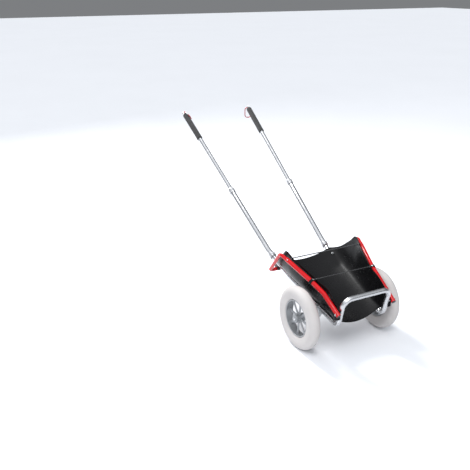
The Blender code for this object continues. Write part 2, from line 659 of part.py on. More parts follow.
# ---- poles ----------------------------------------------------------------------------------
def make_pole(side, sign, parts):
    foot, bend = place(POLE_FOOT, sign), place(POLE_BEND, sign)
    axis, base = pole_axis(sign), base_axis(sign)
    collar = on_pole(sign, COLLAR_Y)
    path = fillet_path([(foot, 0.0), (bend, POLE_BEND[3]), (collar, 0.0)], 3.0)
    lower = hollow_tube("pole_lower_" + side, path, POLE_R, POLE_WALL, "silver")
    ring = [(POLE_R + GAP, 0.0), (COLLAR_R, 0.0), (COLLAR_R, BASE_COLLAR_LENGTH - 0.003),
            (COLLAR_R - 0.002, BASE_COLLAR_LENGTH), (POLE_R + GAP, BASE_COLLAR_LENGTH)]
    clamp = turned("pole_collar_" + side, ring, "silver", foot, base, COLLAR_SIDES)
    up = (Vector((0, 0, 1)) - base * base.z).normalized()
    spot = foot + base * 0.012
    drill([clamp, lower, parts["chassis"]], "pole_hole_" + side, spot, up, BUTTON_R + GAP, 0.002, 0.03)
    turned("pole_button_" + side, button_profile(COLLAR_R, FRAME_R - FRAME_WALL), "steel", spot, up,
           SCREW_SIDES)
    # Twist collar on the lower tube's upper end.
    step = TWIST_COLLAR_LENGTH * 0.62
    sleeve = [(POLE_R + GAP, -step), (COLLAR_R - 0.001, -step), (COLLAR_R, -step + 0.003), (COLLAR_R, 0.004),
              (UPPER_R + 0.0022, TWIST_COLLAR_LENGTH - step), (UPPER_R + 0.0005, TWIST_COLLAR_LENGTH - step),
              (UPPER_R + 0.0005, GAP * 2), (POLE_R + GAP, GAP * 2)]
    turned("twist_collar_" + side, sleeve, "silver", collar, axis, COLLAR_SIDES)
    # Upper tube, grip and end pieces.
    grip_foot = place(GRIP_FOOT, sign)
    top = grip_foot + axis * GRIP_LENGTH
    reach = [collar - axis * UPPER_OVERLAP, top - axis * 0.0005]
    hollow_tube("pole_upper_" + side, reach, UPPER_R, UPPER_WALL, "silver", origin=collar)
    foam = [(UPPER_R + GAP, 0.0), (GRIP_R - 0.002, 0.0), (GRIP_R, 0.003), (GRIP_R, GRIP_LENGTH - 0.003),
            (GRIP_R - 0.002, GRIP_LENGTH), (UPPER_R + GAP, GRIP_LENGTH)]
    turned("grip_" + side, foam, "foam", grip_foot, axis, COLLAR_SIDES)
    plug = UPPER_R - UPPER_WALL - 0.0011
    cap = [(0.0, -0.016), (plug, -0.016), (plug, GAP), (GRIP_R - 0.0025, GAP), (GRIP_R - 0.003, 0.0035),
           (0.0060, 0.0050), (0.0, 0.0050)]
    end_cap = turned("end_cap_" + side, cap, "rubber", top, axis, COLLAR_SIDES)
    return top, axis, end_cap


def eye_and_carabiner(side, top, axis, hinge, hang, seat, end_cap):
    """Eye bolt in the pole's end and the carabiner on it. hinge is the eye's normal."""
    centre = top + axis * (0.0050 + EYE_R + EYE_WIRE_R + 0.0015)
    steps = [2 * math.pi * k / EYE_FACETS for k in range(EYE_FACETS)]
    wire = [(EYE_R + EYE_WIRE_R * math.cos(a), EYE_WIRE_R * math.sin(a)) for a in steps]
    eye = turned("eye_bolt_" + side, wire, "steel", centre, hinge, COLLAR_SIDES)
    shank = [(0.0, -0.012), (STEM_R, -0.012), (STEM_R, 0.0055), (0.0045, 0.0055), (0.0045, 0.0075),
             (STEM_R, 0.0080), (0.0020, 0.0086), (0.0, 0.0086)]
    stem = cutter(add_object("stem_" + side, turned_mesh("stem_" + side, shank, SCREW_SIDES), None,
                             Matrix.Translation(top) @ along(axis)))
    boolean(eye, stem, "UNION")
    drill([end_cap], "stem_hole_" + side, top, axis, STEM_R + GAP, -0.0125, 0.02)
    # The carabiner's wire lies in the eye, on the side it is pulled to.
    pivot = centre + seat * (EYE_R - EYE_WIRE_R - WIRE_R - 3 * GAP)
    make_carabiner(side, pivot, hinge, hang)


def make_carabiner(side, pivot, across, down):
    """D-shaped snap link hanging from its pivot: a C of round wire closed by a hinged gate."""
    half, length = CARABINER_WIDTH / 2 - WIRE_R, CARABINER_LENGTH - 2 * WIRE_R
    corner = 0.015

    def spot(x, z):
        return pivot + across * x + down * z

    # Long side without a gate, both ends, and the stubs of the gate side.
    corners = [(spot(half, length * 0.74), 0.0), (spot(half, length), corner),
               (spot(-half, length), corner), (spot(-half, 0.0), corner),
               (spot(half, 0.0), corner), (spot(half, length * 0.28), 0.0)]
    solid_tube("carabiner_" + side, fillet_path(corners, 30.0), WIRE_R, "red", pivot, 2)
    gate_low, gate_high = length * 0.74 - 0.0006, length * 0.28 + 0.0012
    gate_r, gate_length = WIRE_R * 0.78, gate_low - gate_high
    outline = [(0.0, 0.0), (gate_r, 0.0), (gate_r, gate_length), (0.0, gate_length)]
    turned("gate_" + side, outline, "steel", spot(half, gate_high), down, SCREW_SIDES)


# ---- assembly -------------------------------------------------------------------------------
def main():
    parts = make_frame()
    parts["sheet"] = make_sheet()
    make_axle(parts)
    make_rail_fittings(parts)
    make_bed_fittings(parts)
    for name, y, z, half, radius in CORDS:
        make_cord(name, y, z, half, radius, parts["sheet"])
    for side, sign in SIDES:
        make_wheel(side, sign)
        top, axis, end_cap = make_pole(side, sign, parts)
        if side == "left":
            hinge = Vector(LEFT_EYE)
            hinge = (hinge - axis * hinge.dot(axis)).normalized()
            seat = axis.cross(hinge)
            rest = (seat * math.sin(LYING_TILT) - axis * math.cos(LYING_TILT)).normalized()
        else:
            hinge = Vector(RIGHT_EYE).normalized()
            rest = seat = Vector((0, 0, -1))
        eye_and_carabiner(side, top, axis, hinge, rest, seat, end_cap)


main()
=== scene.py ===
"""Looks of the two-wheeled game cart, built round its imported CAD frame.

Metres, in the frame of the CAD: +Z up, +Y towards the grips of the poles.
"""
import json
import math

import bmesh
import bpy
from mathutils import Matrix, Vector

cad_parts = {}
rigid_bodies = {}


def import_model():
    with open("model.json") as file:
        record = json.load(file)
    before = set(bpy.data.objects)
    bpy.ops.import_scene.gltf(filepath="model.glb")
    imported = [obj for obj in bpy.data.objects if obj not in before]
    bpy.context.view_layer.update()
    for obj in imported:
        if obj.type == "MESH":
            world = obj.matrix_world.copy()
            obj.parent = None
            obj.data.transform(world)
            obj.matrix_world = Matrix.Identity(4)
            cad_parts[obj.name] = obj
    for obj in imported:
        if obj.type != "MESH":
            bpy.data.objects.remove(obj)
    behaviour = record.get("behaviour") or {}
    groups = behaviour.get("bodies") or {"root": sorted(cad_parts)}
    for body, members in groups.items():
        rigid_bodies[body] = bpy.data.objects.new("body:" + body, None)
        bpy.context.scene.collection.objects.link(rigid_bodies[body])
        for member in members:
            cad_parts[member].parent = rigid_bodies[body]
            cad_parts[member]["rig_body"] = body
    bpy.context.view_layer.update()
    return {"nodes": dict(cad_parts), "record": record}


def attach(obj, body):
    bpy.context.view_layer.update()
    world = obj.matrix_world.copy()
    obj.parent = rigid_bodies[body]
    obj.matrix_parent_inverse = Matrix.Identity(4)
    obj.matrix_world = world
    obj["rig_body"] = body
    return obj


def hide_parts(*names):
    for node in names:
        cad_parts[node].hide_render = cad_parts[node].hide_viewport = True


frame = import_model()
NODES = frame["nodes"]
BODY_OF = {name: node["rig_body"] for name, node in NODES.items()}
SLOT_OF = {row["node"]: row["material_slot"] for row in frame["record"]["subparts"]}
SIDES = (("left", -1.0), ("right", 1.0))

# ---- sizes shared with the CAD ----------------------------------------------------------------
GAP = 0.0003
AXLE_Y = -0.5916
WHEEL_R, WHEEL_X, TYRE_WIDTH = 0.1575, 0.2348, 0.057
RIM_R, RIM_WIDTH, RIM_WALL = 0.0935, 0.040, 0.0060
HUB_R, HUB_WIDTH = 0.021, 0.046
SPOKES, SPOKE_PHASE = 8, math.radians(-5.0)
BEARING_R, BEARING_WIDTH, PIN_R = 0.0140, 0.008, 0.0060
FRAME_R, FRAME_WALL = 0.0125, 0.0016
RAIL_R, RAIL_WALL = 0.0115, 0.0014
YOKE_R, YOKE_WALL = 0.0092, 0.0015
BEAM_R, BEAM_HALF = 0.0125, 0.185
HANGER_HALF = 0.0165
POLE_R, POLE_WALL = 0.0148, 0.0016
UPPER_R, UPPER_WALL, UPPER_OVERLAP = 0.0120, 0.0015, 0.070
COLLAR_R, BASE_COLLAR_LENGTH, TWIST_COLLAR_LENGTH = 0.0182, 0.024, 0.032
GRIP_R, GRIP_LENGTH = 0.0165, 0.222
SPIGOT = 0.040
SHEET, SHEET_LIFT, FLOOR_SAG = 0.0016, 0.0160, (0.043, 0.033)
FLOOR_SHARE, FLOOR_RUN, WALL_RUN = 0.46, (-0.141, 0.338), (-0.205, 0.207)
CORNER_FROM, CORNER_CUT = 0.160, 0.024
WALL_RISE, RISE_AT, RISE_REACH = 0.011, -0.118, 0.070
EAR_RISE, EAR_AT, EAR_REACH, FRONT_EDGE = 0.012, 0.170, 0.045, 1.8
CORD_HOLE = 0.0006
# Cords from wall to wall: piece, CAD node, y from the axle, height, half length and radius.
CORDS = (("rear_elastic", "rear_cord", 0.139, 0.4085, 0.2055, 0.0026),
         ("mid_elastic", "mid_cord", -0.016, 0.3535, 0.1625, 0.0016))
RAIL_TO_LEG = 0.030
STRAP_HALF, STRAP_WALL = 0.0075, 0.0027
TREAD_GROOVES, GROOVE_DEPTH, GROOVE_REACH = (-0.0095, 0.0, 0.0095), 0.0009, 0.0008
WIRE_R, CARABINER_LENGTH, CARABINER_WIDTH = 0.0028, 0.068, 0.042
EYE_R, EYE_WIRE_R = 0.0100, 0.0021
LYING_TILT = math.radians(14.0)
LEFT_EYE = (-0.521, -0.451, 0.725)
RIGHT_EYE = (0.89, -0.455, 0.0)
BOLT_R, BUTTON_R, RIVET_R = 0.0030, 0.0034, 0.0020

# Corners of the bent tubes on the right side, from the axle's foot: x, y, z and bend radius.
HOOP_TOP = (0.1325, -0.205, 0.3195, 0.045)
HOOP_FOOT = (0.1305, -0.168, 0.1695, 0.030)
MEMBER_BEND = (0.1480, 0.220, 0.2567, 0.200)
POLE_FOOT = (0.1640, 0.372, 0.3200, 0.0)
POLE_BEND = (0.1690, 0.420, 0.3400, 0.120)
GRIP_FOOT = (0.2115, 1.182, 0.7840, 0.0)
COLLAR_Y = 0.806
RAIL_FRONT = (0.1585, -0.210, 0.2465, 0.0)
RAIL_BEND = (0.1655, -0.094, 0.3120, 0.060)
RAIL_TAB = (0.1800, -0.012, 0.3420, 0.200)
RAIL_REAR = (0.2242, 0.150, 0.4040, 0.0)
YOKE_TOP = (0.2350, 0.190, 0.4190, 0.026)
YOKE_FOOT = (0.2080, 0.333, 0.2670, 0.022)
RIVET = (0.1488, -0.1820, 0.2290)

# ---- camera -----------------------------------------------------------------------------------
CAMERA_FROM_AXLE = (-1.760, -2.296, 1.673)
CAMERA_AZIMUTH, CAMERA_ELEVATION = math.radians(-27.146), math.radians(21.643)
CAMERA_LENS = 49.323

# ---- studio -----------------------------------------------------------------------------------
SKY_AIM = (-0.35, -0.35, 0.87)
SKY_RANGE = (0.10, 0.95, 0.22, 1.15)
KEY_FROM, KEY_POWER, KEY_SPREAD = (-1.4, -1.8, 3.2), 1.45, 28.0
STRIP_FROM, STRIP_TO, STRIP_SIZE, STRIP_POWER = (-0.55, 2.5, 2.9), (0.1, 0.1, 0.3), (0.40, 2.4), 170.0


# ---- materials --------------------------------------------------------------------------------
class Paint:
    """A Principled material whose colour, roughness and relief come from procedural nodes."""

    def __init__(self, name, colour, roughness, metallic=0.0):
        self.material = bpy.data.materials.new(name)
        self.material.use_nodes = True
        self.tree = self.material.node_tree
        self.shader = self.tree.nodes["Principled BSDF"]
        self.colour = colour
        self.set(Roughness=roughness, Metallic=metallic)
        self.roughness = roughness
        self.coords = self.tree.nodes.new("ShaderNodeTexCoord")
        self.normal = None
        self.last_colour = None

    def set(self, **values):
        for name, value in values.items():
            self.shader.inputs[name.replace("_", " ")].default_value = value
        return self

    def texture(self, kind, scale, stretch=(1, 1, 1), **values):
        mapping = self.tree.nodes.new("ShaderNodeMapping")
        mapping.inputs["Scale"].default_value = stretch
        self.tree.links.new(self.coords.outputs["Object"], mapping.inputs["Vector"])
        node = self.tree.nodes.new("ShaderNodeTex" + kind)
        self.tree.links.new(mapping.outputs["Vector"], node.inputs["Vector"])
        node.inputs["Scale"].default_value = scale
        for name, value in values.items():
            node.inputs[name].default_value = value
        return node.outputs["Distance" if kind == "Voronoi" else "Fac"]

    def ramp(self, source, stops):
        node = self.tree.nodes.new("ShaderNodeValToRGB")
        ramp = node.color_ramp
        while len(ramp.elements) < len(stops):
            ramp.elements.new(0.5)
        for element, (place, value) in zip(ramp.elements, stops):
            element.position = place
            element.color = (*value, 1.0) if isinstance(value, tuple) else (value, value, value, 1.0)
        self.tree.links.new(source, node.inputs["Fac"])
        return node.outputs["Color"]

    def mottled(self, scale, spread, other=None):
        """Colour that drifts between a darker and a lighter tone, or towards another colour."""
        dark = other or tuple(c * (1 - spread) for c in self.colour)
        light = tuple(min(1.0, c * (1 + spread)) for c in self.colour)
        source = self.texture("Noise", scale, Detail=6.0, Roughness=0.6)
        self.last_colour = self.ramp(source, [(0.32, dark), (0.5, self.colour), (0.70, light)])
        self.tree.links.new(self.last_colour, self.shader.inputs["Base Color"])
        return self

    def speckled(self, scale, tone, low=0.62, high=0.74, stretch=(1, 1, 1)):
        """Small flecks of another tone over the colour."""
        mask = self.ramp(self.texture("Noise", scale, stretch, Detail=2.0), [(low, 0.0), (high, 1.0)])
        mix = self.tree.nodes.new("ShaderNodeMix")
        mix.data_type = "RGBA"
        self.tree.links.new(mask, mix.inputs["Factor"])
        self.tree.links.new(self.last_colour, mix.inputs["A"])
        mix.inputs["B"].default_value = (*tone, 1.0)
        self.last_colour = mix.outputs["Result"]
        self.tree.links.new(self.last_colour, self.shader.inputs["Base Color"])
        return self

    def uneven(self, scale, spread):
        """Roughness that varies, as handled or brushed surfaces do."""
        source = self.texture("Noise", scale, Detail=8.0, Roughness=0.65)
        node = self.tree.nodes.new("ShaderNodeMapRange")
        node.inputs["From Min"].default_value = 0.3
        node.inputs["From Max"].default_value = 0.7
        node.inputs["To Min"].default_value = max(0.02, self.roughness - spread)
        node.inputs["To Max"].default_value = min(1.0, self.roughness + spread)
        self.tree.links.new(source, node.inputs["Value"])
        self.tree.links.new(node.outputs["Result"], self.shader.inputs["Roughness"])
        return self

    def relief(self, source, strength, distance):
        bump = self.tree.nodes.new("ShaderNodeBump")
        bump.inputs["Strength"].default_value = strength
        bump.inputs["Distance"].default_value = distance
        self.tree.links.new(source, bump.inputs["Height"])
        if self.normal is not None:
            self.tree.links.new(self.normal, bump.inputs["Normal"])
        self.normal = bump.outputs["Normal"]
        self.tree.links.new(self.normal, self.shader.inputs["Normal"])
        return self

    def grain(self, kind, scale, strength, distance, stretch=(1, 1, 1), **values):
        return self.relief(self.texture(kind, scale, stretch, **values), strength, distance)


def make_paints():
    paints = {}

    def add(name, *args):
        paint = Paint(name, *args)
        paints[name] = paint.material
        return paint

    silver = add("silver_tube", (0.58, 0.585, 0.60), 0.27, 1.0)
    silver.mottled(14, 0.05).speckled(900, (0.66, 0.67, 0.68)).uneven(60, 0.06)
    silver.grain("Noise", 500, 0.03, 0.0003, Detail=3.0).grain("Noise", 25, 0.02, 0.001)
    collar = add("collar", (0.52, 0.525, 0.54), 0.34, 0.90)
    collar.mottled(40, 0.06).uneven(120, 0.08).grain("Noise", 1100, 0.14, 0.0004, Detail=2.0)
    bracket = add("bracket", (0.52, 0.53, 0.54), 0.46, 0.85)
    bracket.mottled(30, 0.10).uneven(90, 0.10).grain("Noise", 420, 0.35, 0.0006, Detail=6.0)
    red = add("red_tube", (0.50, 0.001, 0.004), 0.20, 0.0)
    red.mottled(10, 0.08).speckled(1500, (0.62, 0.006, 0.010), 0.60, 0.72).uneven(35, 0.05)
    red.grain("Noise", 260, 0.05, 0.0008, Detail=3.0)
    red.set(Specular_IOR_Level=0.35, Coat_Weight=0.10, Coat_Roughness=0.06)
    clip = add("clip_red", (0.3410, 0.0055, 0.0165), 0.28, 0.45)
    clip.mottled(60, 0.08).uneven(200, 0.08).grain("Noise", 1800, 0.10, 0.0003, Detail=2.0)
    clip.set(Coat_Weight=0.4, Coat_Roughness=0.10)
    sheet = add("sheet", (0.0048, 0.0047, 0.0052), 0.27, 0.0)
    sheet.mottled(7, 0.30).speckled(380, (0.010, 0.010, 0.011), 0.58, 0.80).uneven(16, 0.04)
    sheet.grain("Noise", 650, 0.08, 0.0003, Detail=4.0).grain("Noise", 9, 0.04, 0.004)
    sheet.set(Specular_IOR_Level=0.18)
    moulded = add("black_plastic", (0.014, 0.014, 0.015), 0.46, 0.0)
    moulded.mottled(60, 0.25).uneven(120, 0.08).grain("Noise", 900, 0.25, 0.0004, Detail=3.0)
    rubber = add("black_rubber", (0.022, 0.022, 0.023), 0.62, 0.0)
    rubber.mottled(80, 0.25).uneven(150, 0.10).grain("Noise", 1200, 0.30, 0.0004, Detail=3.0)
    foam = add("foam", (0.0135, 0.0135, 0.0140), 0.88, 0.0)
    foam.mottled(120, 0.30).speckled(1400, (0.055, 0.056, 0.058), 0.56, 0.70).uneven(300, 0.06)
    foam.grain("Voronoi", 1300, 0.55, 0.0006).grain("Noise", 90, 0.12, 0.0015)
    foam.set(Sheen_Weight=0.10, Sheen_Roughness=0.5)
    tyre = add("tyre", (0.505, 0.482, 0.473), 0.68, 0.0)
    tyre.mottled(9, 0.05, (0.49, 0.465, 0.455)).speckled(260, (0.46, 0.435, 0.425), 0.64, 0.80)
    tyre.uneven(60, 0.08).grain("Noise", 500, 0.25, 0.0006, Detail=5.0).grain("Noise", 22, 0.06, 0.002)
    rim = add("rim", (0.30, 0.31, 0.325), 0.38, 0.40)
    rim.mottled(18, 0.06).speckled(1200, (0.38, 0.39, 0.40), 0.60, 0.72).uneven(80, 0.08)
    rim.grain("Noise", 850, 0.14, 0.0004, Detail=3.0)
    steel = add("steel", (0.58, 0.585, 0.59), 0.28, 1.0)
    steel.mottled(90, 0.10).uneven(240, 0.12).grain("Noise", 1600, 0.18, 0.0003, (1, 1, 8), Detail=3.0)
    cord = add("cord", (0.016, 0.016, 0.018), 0.70, 0.0)
    cord.mottled(300, 0.30).speckled(950, (0.13, 0.13, 0.14), 0.54, 0.66, (0.4, 1, 1))
    cord.uneven(400, 0.08).grain("Voronoi", 1500, 0.70, 0.0006, (0.5, 1, 1))
    cord.set(Sheen_Weight=0.15)
    return paints


PAINTS = make_paints()


# ---- mesh helpers -----------------------------------------------------------------------------
def at(x, y, z):
    return Vector((x, y + AXLE_Y, z))


def place(corner, side=1.0):
    return at(side * corner[0], corner[1], corner[2])


def along(direction):
    return Vector((0, 0, 1)).rotation_difference(Vector(direction)).to_matrix().to_4x4()


def finish_mesh(name, data):
    bmesh.ops.remove_doubles(data, verts=data.verts, dist=1e-7)
    bmesh.ops.recalc_face_normals(data, faces=data.faces)
    mesh = bpy.data.meshes.new(name)
    data.to_mesh(mesh)
    data.free()
    return mesh


def new_object(name, mesh, matrix=None):
    item = bpy.data.objects.new(name, mesh)
    bpy.context.scene.collection.objects.link(item)
    if matrix is not None:
        item.matrix_world = matrix
    return item


def baked(item):
    """The object with its modifiers applied, its mesh in the row frame."""
    bpy.context.view_layer.update()
    graph = bpy.context.evaluated_depsgraph_get()
    mesh = bpy.data.meshes.new_from_object(item.evaluated_get(graph))
    mesh.transform(item.matrix_world)
    mesh.name = item.name
    name = item.name
    bpy.data.objects.remove(item, do_unlink=True)
    return new_object(name, mesh)


def show(item, nodes, paint=None, angle=38.0):
    """Finish a piece: material, smooth shading, the CAD nodes it stands for and its body."""
    nodes = [nodes] if isinstance(nodes, str) else nodes
    slot = paint or SLOT_OF[nodes[0]]
    item.data.materials.clear()
    item.data.materials.append(PAINTS[slot])
    if item.type == "MESH":
        item.data.shade_smooth()
        item.data.set_sharp_from_angle(angle=math.radians(angle))
    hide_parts(*nodes)
    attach(item, BODY_OF[nodes[0]])
    return item


def detail(item, owner, paint, angle=38.0):
    """A small extra piece that goes with a CAD node without replacing it."""
    item.data.materials.clear()
    item.data.materials.append(PAINTS[paint])
    if item.type == "MESH":
        item.data.shade_smooth()
        item.data.set_sharp_from_angle(angle=math.radians(angle))
    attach(item, BODY_OF[owner])
    return item


def rounded(profile, radius, steps=4, closed=True):
    """An outline of (radius, height) points with its corners rounded."""
    points = [Vector(p) for p in profile]
    count = len(points)
    out = []
    for k, corner in enumerate(points):
        ends = k in (0, count - 1)
        if ends and not closed:
            out.append(corner)
            continue
        before = points[k - 1] - corner
        after = points[(k + 1) % count] - corner
        if before.length < 1e-9 or after.length < 1e-9:
            out.append(corner)
            continue
        turn = math.pi - before.angle(after)
        if turn < math.radians(12):
            out.append(corner)
            continue
        reach = min(radius * math.tan(turn / 2), before.length * 0.45, after.length * 0.45)
        start, end = corner + before.normalized() * reach, corner + after.normalized() * reach
        for s in range(steps + 1):
            t = s / steps
            out.append(start * (1 - t) ** 2 + corner * (2 * t * (1 - t)) + end * t * t)
    return [(max(0.0, p.x), p.y) for p in out]


def turned_mesh(name, profile, sides):
    data = bmesh.new()
    verts = [data.verts.new((radius, 0.0, height)) for radius, height in profile]
    edges = [data.edges.new(pair) for pair in zip(verts, verts[1:])]
    if profile[0][0] > 0 or profile[-1][0] > 0:
        edges.append(data.edges.new((verts[-1], verts[0])))
    bmesh.ops.spin(data, geom=verts + edges, cent=(0, 0, 0), axis=(0, 0, 1),
                   angle=2 * math.pi, steps=sides, use_merge=True)
    return finish_mesh(name, data)


def turned(name, profile, origin, axis, sides=48, soften=0.0004):
    closed = profile[0][0] > 0 or profile[-1][0] > 0
    outline = rounded(profile, soften, closed=closed) if soften else profile
    matrix = Matrix.Translation(origin) @ along(axis)
    return new_object(name, turned_mesh(name, outline, sides), matrix)


def fillet_path(corners, step_angle=4.0):
    """Straight runs joined by arcs: corners are (point, bend radius)."""
    path = [corners[0][0].copy()]
    for k in range(1, len(corners) - 1):
        before, corner, after = corners[k - 1][0], corners[k][0], corners[k + 1][0]
        radius = corners[k][1]
        back = (before - corner).normalized()
        ahead = (after - corner).normalized()
        turn = math.pi - back.angle(ahead)
        reach = radius * math.tan(turn / 2)
        start, end = corner + back * reach, corner + ahead * reach
        centre = corner + (back + ahead).normalized() * (radius / math.cos(turn / 2))
        steps = max(3, math.ceil(math.degrees(turn) / step_angle))
        first, last = start - centre, end - centre
        for s in range(steps + 1):
            t = s / steps
            weight_a = math.sin((1 - t) * turn) / math.sin(turn)
            weight_b = math.sin(t * turn) / math.sin(turn)
            path.append(centre + first * weight_a + last * weight_b)
    path.append(corners[-1][0].copy())
    return path


def curve_of(name, path, radius, caps, resolution):
    curve = bpy.data.curves.new(name, "CURVE")
    curve.dimensions = "3D"
    curve.bevel_depth = radius
    curve.bevel_resolution = resolution
    curve.use_fill_caps = caps
    spline = curve.splines.new("POLY")
    spline.points.add(len(path) - 1)
    for point, spot in zip(spline.points, path):
        point.co = (*spot, 1.0)
    return new_object(name, curve)


def tube(name, path, radius, wall=0.0, soften=0.0, resolution=10):
    """A round tube along a path: hollow if it has a wall, else closed with softened ends."""
    item = baked(curve_of(name, path, radius, not wall, resolution))
    data = bmesh.new()
    data.from_mesh(item.data)
    bmesh.ops.remove_doubles(data, verts=data.verts, dist=1e-7)
    data.to_mesh(item.data)
    data.free()
    if wall:
        shell = item.modifiers.new("wall", "SOLIDIFY")
        shell.thickness = wall
        shell.offset = -1.0
        shell.use_even_offset = True
    if soften or wall:
        edge = item.modifiers.new("edge", "BEVEL")
        edge.width = soften or wall * 0.3
        edge.segments = 2
        edge.limit_method = "ANGLE"
        edge.angle_limit = math.radians(50)
    return baked(item)


def boolean(item, tool, operation="DIFFERENCE"):
    change = item.modifiers.new(tool.name, "BOOLEAN")
    change.operation = operation
    change.solver = "EXACT"
    change.object = tool


def with_tools(item, tools, operation="DIFFERENCE"):
    for tool in tools:
        boolean(item, tool, operation)
    item = baked(item)
    for tool in tools:
        bpy.data.objects.remove(tool, do_unlink=True)
    return item


def rod_tool(name, origin, axis, radius, start, end, sides=32):
    profile = [(0.0, start), (radius, start), (radius, end), (0.0, end)]
    return new_object(name, turned_mesh(name, profile, sides), Matrix.Translation(origin) @ along(axis))


def hexagon(name, radius, low, high, chamfer=0.0006):
    """A hexagonal nut or head about Z."""
    data = bmesh.new()
    bmesh.ops.create_cone(data, cap_ends=True, segments=6, radius1=radius, radius2=radius, depth=high - low)
    bmesh.ops.translate(data, verts=data.verts, vec=(0, 0, (low + high) / 2))
    bmesh.ops.bevel(data, geom=data.edges[:], offset=chamfer, segments=2, affect="EDGES", profile=0.6)
    return finish_mesh(name, data)


def joined(name, parts):
    """Several objects as one mesh."""
    data = bmesh.new()
    for part in parts:
        part = baked(part)
        data.from_mesh(part.data)
        bpy.data.objects.remove(part, do_unlink=True)
    mesh = bpy.data.meshes.new(name)
    data.to_mesh(mesh)
    data.free()
    return new_object(name, mesh)


# ---- centre lines -----------------------------------------------------------------------------
def mirrored(corners, side):
    return [(place(c, side), c[3]) for c in corners]


def both_sides(right):
    return fillet_path(right + [(Vector((-p.x, p.y, p.z)), r) for p, r in reversed(right)])


def chassis_path():
    base = place(POLE_FOOT)
    ahead = (place(POLE_BEND) - base).normalized()
    right = [(base + ahead * SPIGOT, 0.0)] + mirrored((MEMBER_BEND, HOOP_FOOT, HOOP_TOP), 1.0)
    return both_sides(right)


def rail_path(side):
    return fillet_path(mirrored((RAIL_FRONT, RAIL_BEND, RAIL_TAB, RAIL_REAR), side))


def yoke_path():
    rear = place(RAIL_REAR)
    ahead = (rear - place(RAIL_TAB)).normalized()
    return both_sides([(rear - ahead * 0.030, 0.0)] + mirrored((YOKE_TOP, YOKE_FOOT), 1.0))


def pole_axis(side):
    return (place(GRIP_FOOT, side) - place(POLE_BEND, side)).normalized()


def base_axis(side):
    return (place(POLE_BEND, side) - place(POLE_FOOT, side)).normalized()


def on_pole(side, y):
    bend, axis = place(POLE_BEND, side), pole_axis(side)
    return bend + axis * ((y + AXLE_Y - bend.y) / axis.y)


def follow(path, y):
    pts = sorted(path, key=lambda p: p.y)
    k = 1
    while k < len(pts) - 1 and pts[k].y < y:
        k += 1
    low, high = pts[k - 1], pts[k]
    t = (y - low.y) / (high.y - low.y)
    return low.x + (high.x - low.x) * t, low.z + (high.z - low.z) * t


# ---- frame ------------------------------------------------------------------------------------
def make_tubes():
    show(tube("frame_tube", chassis_path(), FRAME_R, FRAME_WALL), "chassis_tube")
    show(tube("yoke_tube", yoke_path(), YOKE_R, YOKE_WALL), "rear_yoke")
    for side, sign in SIDES:
        show(tube("rail_tube_" + side, rail_path(sign), RAIL_R, RAIL_WALL), "rail_" + side)
        # Plug that closes the rail's front end.
        end = place(RAIL_FRONT, sign)
        ahead = (place(RAIL_BEND, sign) - end).normalized()
        rim, bore = RAIL_R - 0.0004, RAIL_R - RAIL_WALL - GAP
        plug = [(0.0, -0.0022), (RAIL_R * 0.55, -0.0020), (rim, -0.0006), (rim, -0.0002),
                (bore, -0.0002), (bore, 0.0060), (0.0, 0.0060)]
        detail(turned("rail_plug_" + side, plug, end, ahead, 40), "rail_" + side, "black_plastic")


def member(side):
    foot, bend = place(HOOP_FOOT, side), place(MEMBER_BEND, side)
    axis = (bend - foot).normalized()
    return foot + axis * ((AXLE_Y - foot.y) / axis.y), axis


def bolt(name, origin, axis, reach, head_r, shank_r, node, nut_at=None, washer=True):
    """Hex bolt along the axis: head above the origin, shank down to reach, nut below."""
    matrix = Matrix.Translation(origin) @ along(axis)
    rise = 0.0008 if washer else 0.0
    parts = [new_object(name + "_head", hexagon(name, head_r, rise, rise + head_r * 0.62), matrix)]
    shank = [(0.0, rise), (shank_r, rise), (shank_r, -reach), (0.0, -reach - shank_r * 0.25)]
    parts.append(turned(name + "_shank", shank, origin, axis, 24, 0.0003))
    if washer:
        disc = [(shank_r + 0.0001, 0.0), (head_r * 1.05, 0.0), (head_r * 1.05, rise - 0.00005),
                (shank_r + 0.0001, rise - 0.00005)]
        parts.append(turned(name + "_washer", disc, origin, axis, 32, 0.0001))
    if nut_at is not None:
        parts.append(new_object(name + "_nut", hexagon(name, 0.0055, -nut_at - 0.0045, -nut_at), matrix))
    return show(joined(name, parts), node, angle=30.0)


def make_axle():
    bore = PIN_R + GAP
    profile = [(BEAM_R, -BEAM_HALF), (BEAM_R, BEAM_HALF), (bore, BEAM_HALF), (bore, -BEAM_HALF)]
    show(turned("axle_tube", profile, at(0, 0, WHEEL_R), (1, 0, 0), 56, 0.0008), "axle_beam")
    for side, sign in SIDES:
        middle, _ = member(sign)
        out = Vector((sign, 0, 0))
        outer = HANGER_HALF + GAP
        nut_at = outer + FRAME_R + GAP
        bolt("hanger_bolt_" + side, middle + out * outer, out, nut_at + 0.0075, 0.0056, BOLT_R,
             "bracket_bolt_" + side, nut_at, washer=False)


def button(name, node, spot, axis, outer, inner):
    rim = 0.0046
    foot = 0.97 * math.sqrt(inner ** 2 - rim ** 2) - 0.0005
    top = outer + 0.0032
    dome = [(BUTTON_R * math.cos(a), top - BUTTON_R * 0.62 * (1 - math.sin(a)))
            for a in [math.pi / 2 * k / 8 for k in range(9)]]
    profile = [(0.0, foot - 0.0015), (rim, foot - 0.0015), (rim, foot), (BUTTON_R, foot)] + dome
    profile[-1] = (0.0, top)
    show(turned(name, profile, spot, axis, 40, 0.0), node)


